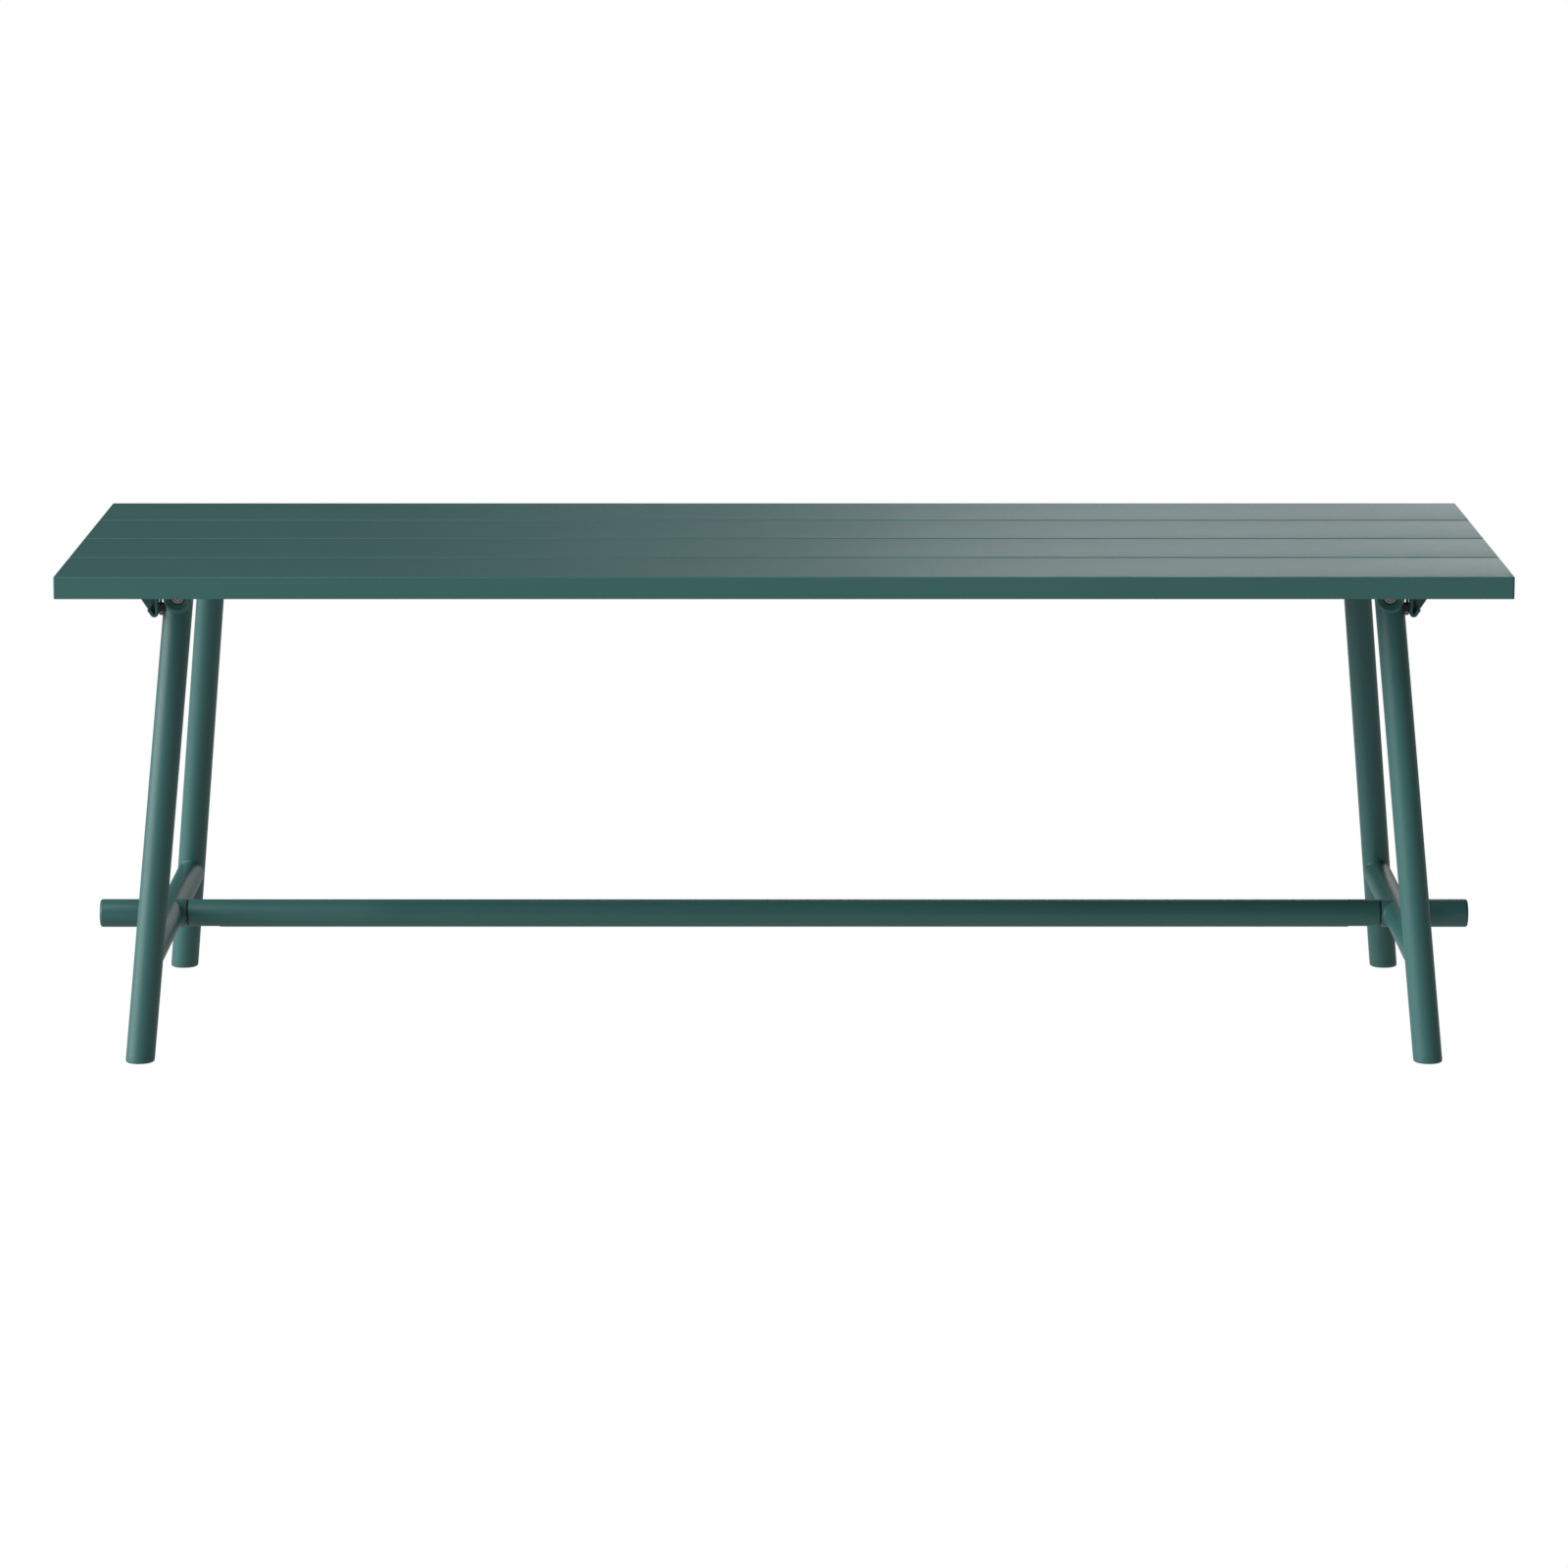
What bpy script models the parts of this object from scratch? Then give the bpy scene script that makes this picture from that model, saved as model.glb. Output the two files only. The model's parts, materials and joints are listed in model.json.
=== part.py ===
"""Backless bench: four folded-sheet planks on two tubular end frames, joined by a lift-off stretcher.

World frame: +X along the bench, -Y towards its front, +Z up, floor at Z = 0. Lengths are in metres.
"""
from math import asin, cos, pi, radians, sin

import bmesh
import bpy
from mathutils import Vector

# Seat
SEAT_L, SEAT_W, SEAT_TOP, SEAT_H = 1.300, 0.514, 0.449, 0.020
PLANKS = 4
GROOVE = 0.004
SHEET = 0.002
INNER_LIP = 0.008
FOLD_R, CORNER_R = 0.0015, 0.003

# Tubes
GAP = 0.0003
WALL = 0.0015
LEG_R = 0.01295
CROSS_R = 0.0130
BEAM_R = 0.0131  # rung and hub
STRETCHER_R = 0.01295
SEGMENTS = 48
REACH = 0.04  # half length of a cutting cylinder

# End frame, for the corner at +X, +Y
PIVOT_X, PIVOT_Z = 0.5454, 0.4222
FOOT_X, FOOT_Y = 0.5840, 0.2184
LEAN_X, LEAN_Y = 0.0913, 0.0937  # inward travel of the leg axis per metre of height
FOOT_CAP, FOOT_PLUG, FOOT_EDGE = 0.0055, 0.0160, 0.0020  # heights of the cap's shoulder and plug, edge radius
BEAM_Z = 0.0947
CROSS_END = 0.1955
CAP_END = 0.1980

# Stretcher and its seats
HUB_IN, HUB_OUT, STUB_END = 0.5599, 0.6385, 0.6410
STRETCHER_END = 0.5581
SPIGOT_R, SPIGOT_TIP = 0.0060, 0.5330
CHANNEL = 0.0063  # half width of the slot that drops over the spigot

# Under the seat
PLATE_TOP = SEAT_TOP - INNER_LIP - GAP
PLATE_IN, PLATE_OUT, PLATE_T, PLATE_FLANGE = 0.500, 0.602, 0.003, 0.009
RAIL_HALF = SEAT_W / 2 - SHEET - 0.001
BEARER_X, BEARER_W, BEARER_H = 0.190, 0.030, 0.0115
BLOCK_HALF, BLOCK_Y0, BLOCK_Y1, BLOCK_BOTTOM, BLOCK_EDGE = 0.0175, 0.070, 0.095, 0.4065, 0.006

# Spring catch
STRAP_X, STRAP_T = 0.5650, 0.0030
TAB_Y0, TAB_Y1, PULL_Y0, PULL_TOP = 0.1790, 0.1887, 0.1489, 0.4108  # narrow tab above, wider pull below
HINGE_PIN_R = 0.0018
KNUCKLE_R = HINGE_PIN_R + GAP + STRAP_T / 2
HINGE_X, HINGE_Z = STRAP_X + KNUCKLE_R, 0.4285
BEND_R, BEND_Z = 0.0023, 0.4063
PULL_LEAN, PULL_LENGTH = 35, 0.0059  # the finger pull leans outward, in degrees from upright
BUFFER_IN, BUFFER_LOW, BUFFER_HIGH = 0.5560, 0.4074, 0.4144
BUFFER_Y0, BUFFER_Y1, BUFFER_CLEAR = 0.1731, 0.1883, 0.0005
CATCH_PIN_R, CATCH_PIN_TIP, CATCH_PIN_Z, CATCH_PIN_Y = 0.0013, 0.5572, 0.4048, 0.1803
CATCH_HOLE_R, CATCH_HOLE_DROP = 0.0029, 0.0005
CHEEK = [(0.5680, 0.4355), (0.5680, 0.4130), (0.5714, 0.4070), (0.5770, 0.4045), (0.5978, 0.4355)]
CHEEK_Y0, CHEEK_Y1 = 0.1462, 0.1484
BASE_X0, BASE_X1, BASE_Y0, BASE_Y1, BASE_T = 0.5610, 0.5983, 0.1450, 0.1895, 0.0025


def clear_scene():
    for obj in list(bpy.data.objects):
        bpy.data.objects.remove(obj, do_unlink=True)


def material(name, colour, metallic, roughness):
    mat = bpy.data.materials.new(name)
    mat.use_nodes = True
    shader = mat.node_tree.nodes["Principled BSDF"]
    shader.inputs["Base Color"].default_value = (*colour, 1.0)
    shader.inputs["Metallic"].default_value = metallic
    shader.inputs["Roughness"].default_value = roughness
    return mat


def finish(bm, name, mat, origin, parent=None):
    """Turns a bmesh in world coordinates into an object whose own origin is the given point."""
    bmesh.ops.recalc_face_normals(bm, faces=bm.faces[:])
    bmesh.ops.translate(bm, verts=bm.verts[:], vec=-Vector(origin))
    for face in bm.faces:
        face.smooth = True
    mesh = bpy.data.meshes.new(name)
    bm.to_mesh(mesh)
    bm.free()
    mesh.set_sharp_from_angle(angle=radians(35))
    obj = bpy.data.objects.new(name, mesh)
    bpy.context.collection.objects.link(obj)
    if mat:
        mesh.materials.append(mat)
    obj.location = origin
    if parent:
        obj.parent = parent
        obj.location = Vector(origin) - parent.location
    return obj


def loft(rings, closed):
    """Skins a list of equal vertex loops; a closed loft returns to its first loop, an open one is capped."""
    bm = bmesh.new()
    loops = [[bm.verts.new(point) for point in ring] for ring in rings]
    pairs = list(zip(loops, loops[1:]))
    if closed:
        pairs.append((loops[-1], loops[0]))
    else:
        bm.faces.new(loops[0])
        bm.faces.new(loops[-1])
    count = len(loops[0])
    for low, high in pairs:
        for i in range(count):
            j = (i + 1) % count
            bm.faces.new((low[i], low[j], high[j], high[i]))
    return bm


def circle(centre, axis, radius, segments=SEGMENTS):
    """A ring of points square to the axis; the start direction depends on the axis alone."""
    axis = Vector(axis).normalized()
    helper = Vector((0, 0, 1)) if abs(axis.z) < 0.9 else Vector((0, 1, 0))
    first = axis.cross(helper).normalized()
    second = axis.cross(first)
    return [
        Vector(centre) + radius * (cos(a) * first + sin(a) * second)
        for a in (2 * pi * i / segments for i in range(segments))
    ]


def lathe(name, mat, origin, axis, profile, closed=False, segments=SEGMENTS, parent=None):
    """Turned piece: profile holds (distance along the axis, radius)."""
    axis = Vector(axis).normalized()
    rings = [circle(Vector(origin) + axis * at, axis, r, segments) for at, r in profile]
    return finish(loft(rings, closed), name, mat, origin, parent)


def tube(name, mat, origin, axis, start, end, radius, wall=WALL, parent=None):
    inner = radius - wall
    profile = [(start, radius), (end, radius), (end, inner), (start, inner)]
    return lathe(name, mat, origin, axis, profile, closed=True, parent=parent)


def prism(name, mat, origin, outline, y0, y1, parent=None):
    """An (x, z) outline extruded along Y."""
    rings = [[Vector((x, y, z)) for x, z in outline] for y in (y0, y1)]
    return finish(loft(rings, False), name, mat, origin, parent)


def box_mesh(low, high):
    bm = bmesh.new()
    bmesh.ops.create_cube(bm, size=1.0)
    low, high = Vector(low), Vector(high)
    for vert in bm.verts:
        vert.co = Vector((low[k] + (vert.co[k] + 0.5) * (high[k] - low[k]) for k in range(3)))
    return bm


def boolean(obj, tool, operation):
    tool.hide_render = True
    tool.display_type = "WIRE"
    modifier = obj.modifiers.new(tool.name, "BOOLEAN")
    modifier.operation = operation
    modifier.solver = "EXACT"
    modifier.object = tool


def mid(*pairs):
    """Centre of the given (low, high) pairs, as a point."""
    return Vector([(low + high) / 2 for low, high in pairs])


# ---------------------------------------------------------------- seat

def plank(index, mat):
    """Folded tray, open below: full-height skirts outside and at the ends, short lips at the grooves."""
    width = (SEAT_W - GROOVE * (PLANKS - 1)) / PLANKS
    y0 = -SEAT_W / 2 + index * (width + GROOVE)
    y1 = y0 + width
    bottom = SEAT_TOP - SEAT_H
    half = SEAT_L / 2
    bm = box_mesh((-half, y0, bottom), (half, y1, SEAT_TOP))
    upright = [e for e in bm.edges if abs(e.verts[0].co.z - e.verts[1].co.z) > SEAT_H / 2]
    bmesh.ops.bevel(bm, geom=upright, offset=CORNER_R, segments=3, profile=0.5, affect="EDGES")
    rim = [e for e in bm.edges if all(v.co.z > SEAT_TOP - 1e-6 for v in e.verts)]
    bmesh.ops.bevel(bm, geom=rim, offset=FOLD_R, segments=3, profile=0.5, affect="EDGES")
    floor = [f for f in bm.faces if all(v.co.z < bottom + 1e-6 for v in f.verts)]
    bmesh.ops.inset_region(bm, faces=floor, thickness=SHEET, use_even_offset=True)
    pocket = bmesh.ops.extrude_face_region(bm, geom=floor)
    bmesh.ops.delete(bm, geom=floor, context="FACES_ONLY")
    risen = [v for v in pocket["geom"] if isinstance(v, bmesh.types.BMVert)]
    bmesh.ops.translate(bm, verts=risen, vec=(0, 0, SEAT_H - SHEET))
    centre = mid((0, 0), (y0, y1), (bottom, SEAT_TOP))
    obj = finish(bm, f"plank_{index + 1}", mat, centre)
    reach = half - 2 * SHEET - CORNER_R
    for name, edge, inward, lipped in (("front", y0, 1, index > 0), ("back", y1, -1, index < PLANKS - 1)):
        if lipped:
            sides = sorted((edge - inward * SHEET, edge + inward * 1.5 * SHEET))
            trim = box_mesh((-reach, sides[0], bottom - SHEET), (reach, sides[1], SEAT_TOP - INNER_LIP))
            boolean(obj, finish(trim, f"lip_cut_{index + 1}_{name}", None, centre), "DIFFERENCE")


def channel_outline(x0, x1, top, height, wall):
    low = top - height
    return [
        (x0, low), (x0, top), (x1, top), (x1, low),
        (x1 - wall, low), (x1 - wall, top - wall), (x0 + wall, top - wall), (x0 + wall, low),
    ]


def seat(teal):
    for index in range(PLANKS):
        plank(index, teal)
    for side, sx in (("left", -1), ("right", 1)):
        centre = Vector((sx * BEARER_X, 0, PLATE_TOP - BEARER_H / 2))
        x0, x1 = centre.x - BEARER_W / 2, centre.x + BEARER_W / 2
        outline = channel_outline(x0, x1, PLATE_TOP, BEARER_H, SHEET)
        prism(f"bearer_{side}", teal, centre, outline, -RAIL_HALF, RAIL_HALF)
        x0, x1 = sorted((sx * PLATE_IN, sx * PLATE_OUT))
        centre = Vector(((x0 + x1) / 2, 0, PLATE_TOP - PLATE_T / 2))
        outline = channel_outline(x0, x1, PLATE_TOP, PLATE_FLANGE, PLATE_T)
        prism(f"mounting_plate_{side}", teal, centre, outline, -RAIL_HALF, RAIL_HALF)


# ---------------------------------------------------------------- end frames

def leg_axis(sx, sy, z):
    return Vector((sx * (FOOT_X - LEAN_X * z), sy * (FOOT_Y - LEAN_Y * z), z))


def leg_ring(sx, sy, z, radius):
    """Level section of the leaning tube."""
    axis = (leg_axis(sx, sy, 1) - leg_axis(sx, sy, 0)).normalized()
    level = []
    for point in circle(leg_axis(sx, sy, z), axis, radius):
        level.append(point + axis * ((z - point.z) / axis.z))
    return level


def around_leg(name, sx, sy, z, clearance):
    """Cylinder about the leg's axis, for cutting what fits against the leg."""
    lean = leg_axis(sx, sy, 1) - leg_axis(sx, sy, 0)
    radius = LEG_R + clearance
    return lathe(name, None, leg_axis(sx, sy, z), lean, [(-REACH, radius), (REACH, radius)])


def around_cross_tube(name, sx, y, clearance):
    radius = CROSS_R + clearance
    return lathe(name, None, (sx * PIVOT_X, y, PIVOT_Z), (0, 1, 0), [(-REACH, radius), (REACH, radius)])


def leg(tag, sx, sy, teal):
    """Leaning tube, level at the foot and fish-mouthed under the cross tube, with a hole for the catch."""
    start, inner = FOOT_CAP + GAP, LEG_R - WALL
    corners = ((start, LEG_R), (PIVOT_Z, LEG_R), (PIVOT_Z, inner), (start, inner))
    rings = [leg_ring(sx, sy, z, radius) for z, radius in corners]
    obj = finish(loft(rings, True), f"leg_{tag}", teal, leg_axis(sx, sy, 0))
    boolean(obj, around_cross_tube(f"mouth_cut_{tag}", sx, leg_axis(sx, sy, PIVOT_Z).y, GAP), "DIFFERENCE")
    hole_at = Vector((sx * PIVOT_X, sy * CATCH_PIN_Y, CATCH_PIN_Z - CATCH_HOLE_DROP))
    hole_in, hole_out = 0.004, 0.025
    hole = lathe(f"catch_hole_cut_{tag}", None, hole_at, (sx, 0, 0),
                 [(hole_in, CATCH_HOLE_R), (hole_out, CATCH_HOLE_R)], segments=24)
    boolean(obj, hole, "DIFFERENCE")


def foot_cap(tag, sx, sy, mat):
    """Moulded cap flush with the leg, rounded below, with a plug up inside the tube."""
    plug_r = LEG_R - WALL - GAP
    rings = []
    for a in (radians(degrees) for degrees in (0, 30, 60, 90)):
        rings.append(leg_ring(sx, sy, FOOT_EDGE * (1 - cos(a)), LEG_R - FOOT_EDGE * (1 - sin(a))))
    rings += [leg_ring(sx, sy, z, r) for z, r in ((FOOT_CAP, LEG_R), (FOOT_CAP, plug_r), (FOOT_PLUG, plug_r))]
    finish(loft(rings, False), f"foot_glide_{tag}", mat, leg_axis(sx, sy, 0))


def rung(tag, sx, sy, teal):
    """Half rung from the hub to the leg, fish-mouthed at both ends."""
    joint = leg_axis(sx, sy, BEAM_Z)
    centre = Vector((joint.x, 0, BEAM_Z))
    start = 0.001
    obj = tube(f"rung_{tag}", teal, centre, (0, sy, 0), start, abs(joint.y), BEAM_R)
    hub_r = BEAM_R + GAP
    hub_cut = lathe(f"hub_cut_{tag}", None, centre, (1, 0, 0), [(-REACH, hub_r), (REACH, hub_r)])
    boolean(obj, hub_cut, "DIFFERENCE")
    boolean(obj, around_leg(f"leg_cut_{tag}", sx, sy, BEAM_Z, GAP), "DIFFERENCE")


def cross_tube_end(tag, sx, sy, teal, steel):
    """Dished cap of the cross tube, with a flanged screw sunk in its middle."""
    dish_r, dish, recess_r, recess = 0.0112, 0.0020, 0.0070, 0.0045
    shank_r, web, insert, edge = 0.0030, 0.0030, 0.0100, 0.0012
    plug_r = CROSS_R - WALL - GAP
    face = CAP_END - CROSS_END
    floor = face - recess
    origin = Vector((sx * PIVOT_X, sy * CROSS_END, PIVOT_Z))
    profile = [(face - dish, recess_r), (face, dish_r)]
    for a in (radians(degrees) for degrees in (0, 30, 60, 90)):
        profile.append((face - edge + edge * cos(a), CROSS_R - edge + edge * sin(a)))
    profile += [
        (GAP, CROSS_R), (GAP, plug_r), (-insert, plug_r), (-insert, plug_r - WALL),
        (floor - web, plug_r - WALL), (floor - web, shank_r + GAP), (floor, shank_r + GAP), (floor, recess_r),
    ]
    lathe(f"cross_cap_{tag}", teal, origin, (0, sy, 0), profile, closed=True)

    flange_r, flange, head_r, head = 0.0062, 0.0010, 0.0046, 0.0025
    socket_r, socket, tip = 0.0025, 0.0018, 0.014
    seat_at = floor + GAP
    top = seat_at + flange + head
    profile = [
        (-tip, shank_r), (seat_at, shank_r), (seat_at, flange_r), (seat_at + flange, flange_r),
        (seat_at + flange, head_r), (top - head / 2, 0.92 * head_r), (top, 0.6 * head_r),
        (top, socket_r), (top - socket, socket_r),
    ]
    lathe(f"cap_screw_{tag}", steel, origin, (0, sy, 0), profile, segments=24)


def end_frame(side, sx, teal, black, foot, steel):
    pivot = Vector((sx * PIVOT_X, 0, PIVOT_Z))
    tube(f"cross_tube_{side}", teal, pivot, (0, 1, 0), -CROSS_END, CROSS_END, CROSS_R)

    beam = Vector((0, 0, BEAM_Z))
    outward = (sx, 0, 0)
    tube(f"hub_{side}", teal, beam, outward, HUB_IN, HUB_OUT, BEAM_R)
    plug_r, insert, edge = BEAM_R - WALL - GAP, 0.008, 0.0018
    steps = [radians(a) for a in (0, 22.5, 45, 67.5, 90)]
    profile = [(HUB_OUT - insert, plug_r), (HUB_OUT + GAP, plug_r)]
    profile += [(HUB_OUT + GAP, BEAM_R)]
    profile += [(STUB_END - edge + edge * sin(a), BEAM_R - edge + edge * cos(a)) for a in steps]
    lathe(f"stub_cap_{side}", teal, beam, outward, profile)
    plug_end, tip_edge = 0.5720, 0.0010
    profile = [
        (plug_end, plug_r), (HUB_IN + GAP, plug_r), (HUB_IN + GAP, SPIGOT_R),
        (SPIGOT_TIP + tip_edge, SPIGOT_R), (SPIGOT_TIP, SPIGOT_R - tip_edge),
    ]
    lathe(f"spigot_{side}", steel, beam, outward, profile)

    for depth, sy in (("front", -1), ("back", 1)):
        tag = f"{depth}_{side}"
        leg(tag, sx, sy, teal)
        foot_cap(tag, sx, sy, foot)
        rung(tag, sx, sy, teal)
        cross_tube_end(tag, sx, sy, teal, steel)
        pivot_block(tag, sx, sy, black)
        catch(tag, sx, sy, teal, black, steel)


def pivot_block(tag, sx, sy, black):
    """Bearing that carries the cross tube under the mounting plate."""
    top = PLATE_TOP - PLATE_T - GAP
    y0, y1 = sorted((sy * BLOCK_Y0, sy * BLOCK_Y1))
    x = sx * PIVOT_X
    bm = box_mesh((x - BLOCK_HALF, y0, BLOCK_BOTTOM), (x + BLOCK_HALF, y1, top))
    low = [e for e in bm.edges if all(v.co.z < BLOCK_BOTTOM + 1e-6 for v in e.verts)
           and abs(e.verts[0].co.y - e.verts[1].co.y) > (y1 - y0) / 2]
    bmesh.ops.bevel(bm, geom=low, offset=BLOCK_EDGE, segments=4, profile=0.5, affect="EDGES")
    centre = Vector((x, (y0 + y1) / 2, PIVOT_Z))
    obj = finish(bm, f"pivot_block_{tag}", black, centre)
    boolean(obj, around_cross_tube(f"bore_cut_{tag}", sx, centre.y, GAP), "DIFFERENCE")


# ---------------------------------------------------------------- spring catches

def strap_path():
    """Centre line (x, z) of the strap: round the hinge pin, down, and bent back up as the finger pull."""
    line = []
    for a in (radians(degrees) for degrees in range(-60, 181, 20)):
        line.append((HINGE_X + KNUCKLE_R * cos(a), HINGE_Z + KNUCKLE_R * sin(a)))
    steps, turn = 8, 180 - PULL_LEAN
    for a in (radians(180 + turn * i / steps) for i in range(steps + 1)):
        line.append((STRAP_X + BEND_R + BEND_R * cos(a), BEND_Z + BEND_R * sin(a)))
    x, z = line[-1]
    lean = radians(PULL_LEAN)
    line.append((x + PULL_LENGTH * sin(lean), z + PULL_LENGTH * cos(lean)))
    return line


def strap(tag, sx, sy, teal, parent):
    """Bent strap, as wide as its pull below and cut back to a tab at the hinge."""
    line = [Vector(point) for point in strap_path()]
    rings = []
    for i, point in enumerate(line):
        ahead = line[min(i + 1, len(line) - 1)] - line[max(i - 1, 0)]
        normal = Vector((-ahead.y, ahead.x)).normalized() * STRAP_T / 2
        corners = [(point - normal, PULL_Y0), (point + normal, PULL_Y0),
                   (point + normal, TAB_Y1), (point - normal, TAB_Y1)]
        rings.append([Vector((sx * p.x, sy * y, p.y)) for p, y in corners])
    obj = finish(loft(rings, False), f"catch_strap_{tag}", teal, parent.location, parent)
    margin = 0.010
    x0, x1 = sorted((sx * (STRAP_X - margin), sx * (HINGE_X + margin)))
    y0, y1 = sorted((sy * (PULL_Y0 - margin), sy * TAB_Y0))
    tab_cut = box_mesh((x0, y0, PULL_TOP), (x1, y1, HINGE_Z + margin))
    boolean(obj, finish(tab_cut, f"tab_cut_{tag}", None, parent.location), "DIFFERENCE")


def bracket(tag, sx, sy, teal):
    """Base under the mounting plate, with a cheek beside the strap and the strap's hinge pin."""
    top = PLATE_TOP - PLATE_T - GAP
    x0, x1 = sorted((sx * BASE_X0, sx * BASE_X1))
    y0, y1 = sorted((sy * BASE_Y0, sy * BASE_Y1))
    centre = mid((x0, x1), (y0, y1), (top - BASE_T, top))
    base = finish(box_mesh((x0, y0, top - BASE_T), (x1, y1, top)), f"catch_bracket_{tag}", teal, centre)
    outline = [(sx * x, z) for x, z in CHEEK]
    boolean(base, prism(f"cheek_join_{tag}", None, centre, outline, sy * CHEEK_Y0, sy * CHEEK_Y1), "UNION")
    hinge = Vector((sx * HINGE_X, 0, HINGE_Z))
    rooted, proud = 0.001, 0.0008
    profile = [(CHEEK_Y1 - rooted, HINGE_PIN_R), (TAB_Y1 + proud, HINGE_PIN_R)]
    boolean(base, lathe(f"hinge_pin_join_{tag}", None, hinge, (0, sy, 0), profile, segments=20), "UNION")


def catch(tag, sx, sy, teal, black, steel):
    """Sprung strap whose pin holds the leg, with a buffer that hugs the leg and the cross tube."""
    bracket(tag, sx, sy, teal)
    axis = bpy.data.objects.new(f"catch_axis_{tag}", None)
    bpy.context.collection.objects.link(axis)
    axis.location = Vector((sx * HINGE_X, sy * (BUFFER_Y0 + BUFFER_Y1) / 2, HINGE_Z))
    strap(tag, sx, sy, teal, axis)

    inner_face = STRAP_X - STRAP_T / 2 - GAP
    x0, x1 = sorted((sx * BUFFER_IN, sx * inner_face))
    y0, y1 = sorted((sy * BUFFER_Y0, sy * BUFFER_Y1))
    buffer = finish(box_mesh((x0, y0, BUFFER_LOW), (x1, y1, BUFFER_HIGH)),
                    f"catch_buffer_{tag}", black, axis.location, axis)
    boolean(buffer, around_leg(f"buffer_leg_cut_{tag}", sx, sy, BUFFER_LOW, BUFFER_CLEAR), "DIFFERENCE")
    cross_tube = around_cross_tube(f"buffer_tube_cut_{tag}", sx, (y0 + y1) / 2, BUFFER_CLEAR)
    boolean(buffer, cross_tube, "DIFFERENCE")

    root = Vector((sx * inner_face, sy * CATCH_PIN_Y, CATCH_PIN_Z))
    length, nose = inner_face - CATCH_PIN_TIP, 0.0004
    lathe(f"catch_pin_{tag}", steel, root, (-sx, 0, 0),
          [(0, CATCH_PIN_R), (length - nose, CATCH_PIN_R), (length, CATCH_PIN_R - nose)],
          segments=20, parent=axis)


# ---------------------------------------------------------------- stretcher

def plug_section(x, radius, half):
    """Round plug with a slot from its middle down to its underside."""
    start = asin(half / radius)
    arc, steps = 2 * pi - 2 * start, 36
    outer = [-pi / 2 + start + arc * i / steps for i in range(steps + 1)]
    points = [Vector((x, radius * cos(a), BEAM_Z + radius * sin(a))) for a in outer]
    points += [Vector((x, half * cos(a), BEAM_Z + half * sin(a))) for a in (pi - pi * i / 12 for i in range(13))]
    return points


def stretcher(teal, black):
    centre = Vector((0, 0, BEAM_Z))
    bar = tube("stretcher", teal, centre, (1, 0, 0), -STRETCHER_END, STRETCHER_END, STRETCHER_R)
    plug_in, margin, washer_gap, washer_inset = 0.5300, 0.001, 0.0004, 0.0002
    for side, sx in (("left", -1), ("right", 1)):
        x0, x1 = sorted((sx * (plug_in - margin), sx * (STRETCHER_END + margin)))
        slot = box_mesh((x0, -CHANNEL, BEAM_Z - 2 * STRETCHER_R), (x1, CHANNEL, BEAM_Z - STRETCHER_R / 2))
        boolean(bar, finish(slot, f"slot_cut_{side}", None, centre), "DIFFERENCE")
        radius, washer_r = STRETCHER_R - WALL - GAP, STRETCHER_R - washer_inset
        shoulder, face = STRETCHER_END + GAP, HUB_IN - washer_gap
        steps = ((plug_in, radius), (shoulder, radius), (shoulder, washer_r), (face, washer_r))
        rings = [plug_section(sx * x, r, CHANNEL) for x, r in steps]
        finish(loft(rings, False), f"stretcher_plug_{side}", black, centre)


clear_scene()
powder_teal = material("powder_teal", (0.050, 0.130, 0.125), 0.0, 0.42)
teal_nylon = material("teal_nylon", (0.050, 0.130, 0.125), 0.0, 0.50)
black_nylon = material("black_nylon", (0.020, 0.020, 0.021), 0.0, 0.55)
zinc_steel = material("zinc_steel", (0.60, 0.58, 0.56), 1.0, 0.32)
seat(powder_teal)
for frame_side, frame_sign in (("left", -1), ("right", 1)):
    end_frame(frame_side, frame_sign, powder_teal, black_nylon, teal_nylon, zinc_steel)
stretcher(powder_teal, black_nylon)
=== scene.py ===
"""Looks of the backless bench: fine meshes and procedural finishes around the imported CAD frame."""
import json
from math import cos, pi, radians, sin, sqrt

import bmesh
import bpy
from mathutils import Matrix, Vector

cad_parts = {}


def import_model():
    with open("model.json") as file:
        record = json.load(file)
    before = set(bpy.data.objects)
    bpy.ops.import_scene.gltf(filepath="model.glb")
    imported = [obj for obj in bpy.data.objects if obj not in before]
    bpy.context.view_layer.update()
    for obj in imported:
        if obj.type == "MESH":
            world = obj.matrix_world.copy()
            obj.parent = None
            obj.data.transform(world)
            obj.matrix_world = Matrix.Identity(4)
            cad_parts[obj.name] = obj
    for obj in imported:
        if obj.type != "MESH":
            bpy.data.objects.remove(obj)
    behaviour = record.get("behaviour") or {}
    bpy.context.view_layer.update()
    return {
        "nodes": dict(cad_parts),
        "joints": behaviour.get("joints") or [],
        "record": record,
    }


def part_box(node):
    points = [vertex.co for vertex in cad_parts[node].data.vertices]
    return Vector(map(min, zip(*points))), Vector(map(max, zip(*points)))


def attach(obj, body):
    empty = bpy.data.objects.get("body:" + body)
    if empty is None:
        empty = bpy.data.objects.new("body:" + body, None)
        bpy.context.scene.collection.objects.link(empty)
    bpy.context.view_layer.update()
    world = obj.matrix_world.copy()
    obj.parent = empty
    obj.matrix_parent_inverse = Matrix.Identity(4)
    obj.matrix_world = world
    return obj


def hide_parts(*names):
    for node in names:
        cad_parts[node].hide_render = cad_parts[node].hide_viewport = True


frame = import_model()

SIDES = {"left": -1, "right": 1}
DEPTHS = {"front": -1, "back": 1}
MM = 0.001
UP = Vector((0, 0, 1))
STEEP = 0.9  # an axis this near to upright needs another start direction for its rings

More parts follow.
